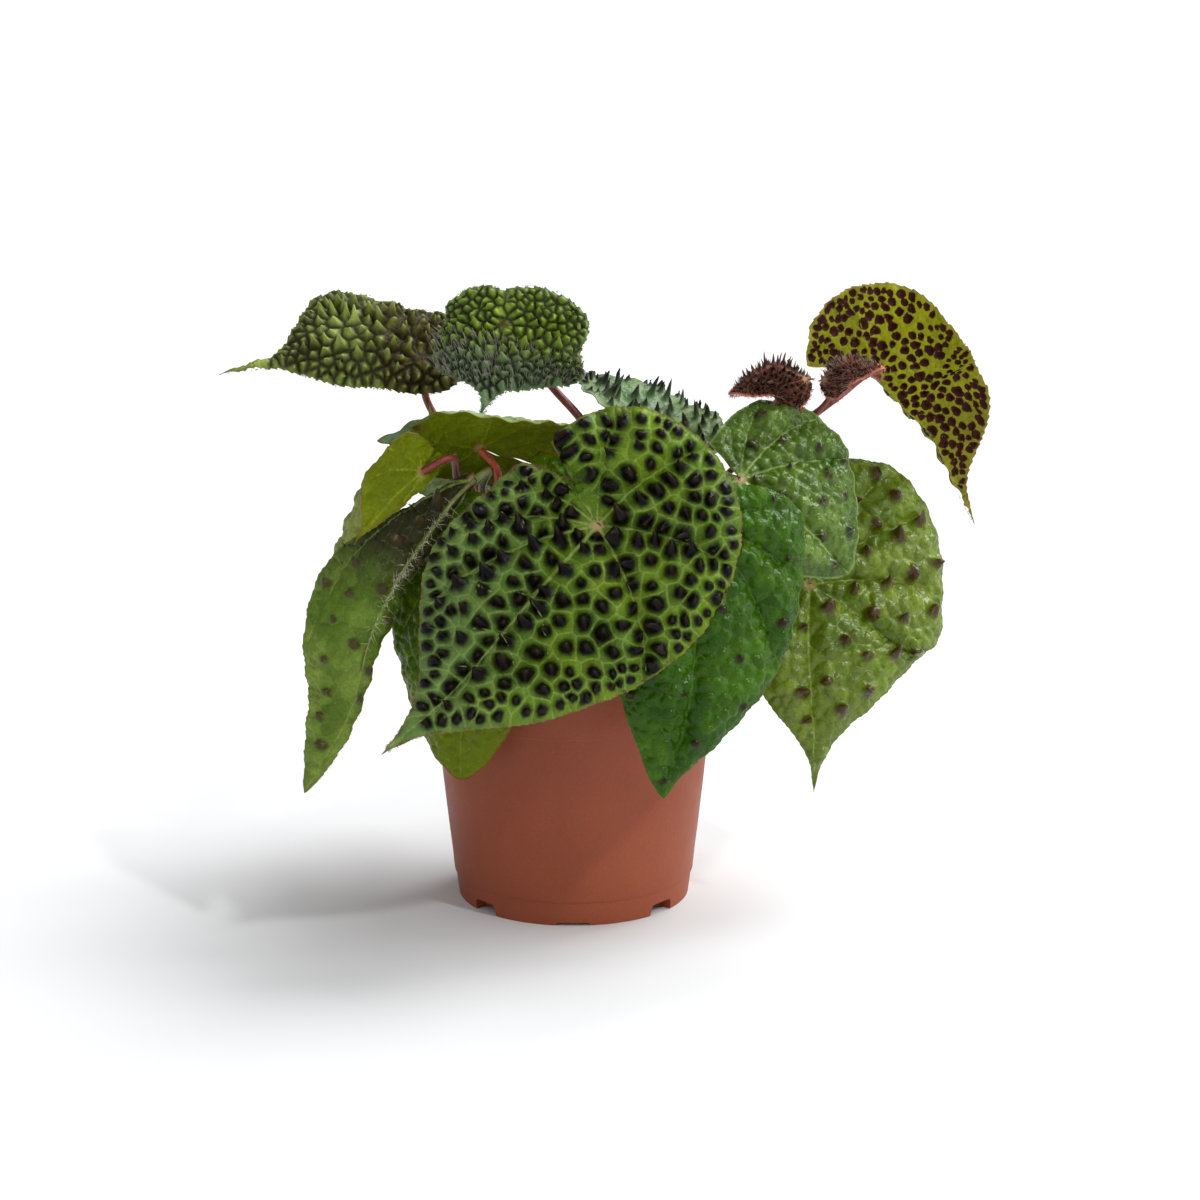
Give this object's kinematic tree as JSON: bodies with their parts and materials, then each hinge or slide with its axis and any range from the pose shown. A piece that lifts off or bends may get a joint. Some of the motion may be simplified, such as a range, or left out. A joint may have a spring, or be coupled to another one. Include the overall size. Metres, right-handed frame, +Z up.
{
  "type": "potted begonia",
  "caption": "Potted rhizomatous begonia with lopsided heart-shaped, cone-studded leaves on red stalks, in a round tapered nursery pot filled with soil.",
  "frame": {"origin": "centre of the flat disc under the pot's base, on the surface that the pot stands on", "axes": "+Z up along the pot axis; -Y towards the side that the big front leaf faces; +X to the right seen from that side"},
  "size_m": [0.3157, 0.2338, 0.2532],
  "materials": {
    "terracotta_plastic": "matte injection-moulded plastic, brick orange with faint specks",
    "potting_soil": "loose dark peat and bark crumbs",
    "rhizome_bark": "rough brown creeping stem with old leaf scars",
    "stalk_skin": "satin red skin with short pale hairs",
    "papery_stipule": "dry papery tan scale",
    "young_blade": "red-brown young blade with dark spines and pink hairs",
    "blade_underside": "olive leaf underside with maroon pits",
    "green_blade": "glossy green blade with pale net veins and a few dark cones",
    "studded_blade": "green blade with lime net veins and near-black purple cones"
  },
  "bodies": {
    "root": {"leaf_back_far_left": "green_blade", "leaf_back_far_right": "green_blade", "leaf_back_left": "green_blade", "leaf_back_middle": "studded_blade", "leaf_back_right": "green_blade", "leaf_front_large": "studded_blade", "leaf_front_left": "green_blade", "leaf_front_right": "green_blade", "leaf_left_hanging": "studded_blade", "leaf_left_olive": "blade_underside", "leaf_left_small": "blade_underside", "leaf_left_thin": "studded_blade", "leaf_left_top": "studded_blade", "leaf_left_umbrella": "blade_underside", "leaf_right_lower": "green_blade", "leaf_right_top": "blade_underside", "leaf_right_upper": "green_blade", "leaf_top_middle": "studded_blade", "leaf_young_large": "young_blade", "leaf_young_small": "young_blade", "petiole_back_far_left": "stalk_skin", "petiole_back_far_right": "stalk_skin", "petiole_back_left": "stalk_skin", "petiole_back_middle": "stalk_skin", "petiole_back_right": "stalk_skin", "petiole_front_large": "stalk_skin", "petiole_front_left": "stalk_skin", "petiole_front_right": "stalk_skin", "petiole_left_hanging": "stalk_skin", "petiole_left_olive": "stalk_skin", "petiole_left_small": "stalk_skin", "petiole_left_top": "stalk_skin", "petiole_left_umbrella": "stalk_skin", "petiole_right_lower": "stalk_skin", "petiole_right_top": "stalk_skin", "petiole_right_upper": "stalk_skin", "petiole_top_middle": "stalk_skin", "petiole_young_large": "stalk_skin", "petiole_young_small": "stalk_skin", "pot": "terracotta_plastic", "rhizome": "rhizome_bark", "side_shoot": "rhizome_bark", "soil": "potting_soil", "stipule_lower": "papery_stipule", "stipule_upper": "papery_stipule"}
  },
  "joints": []
}
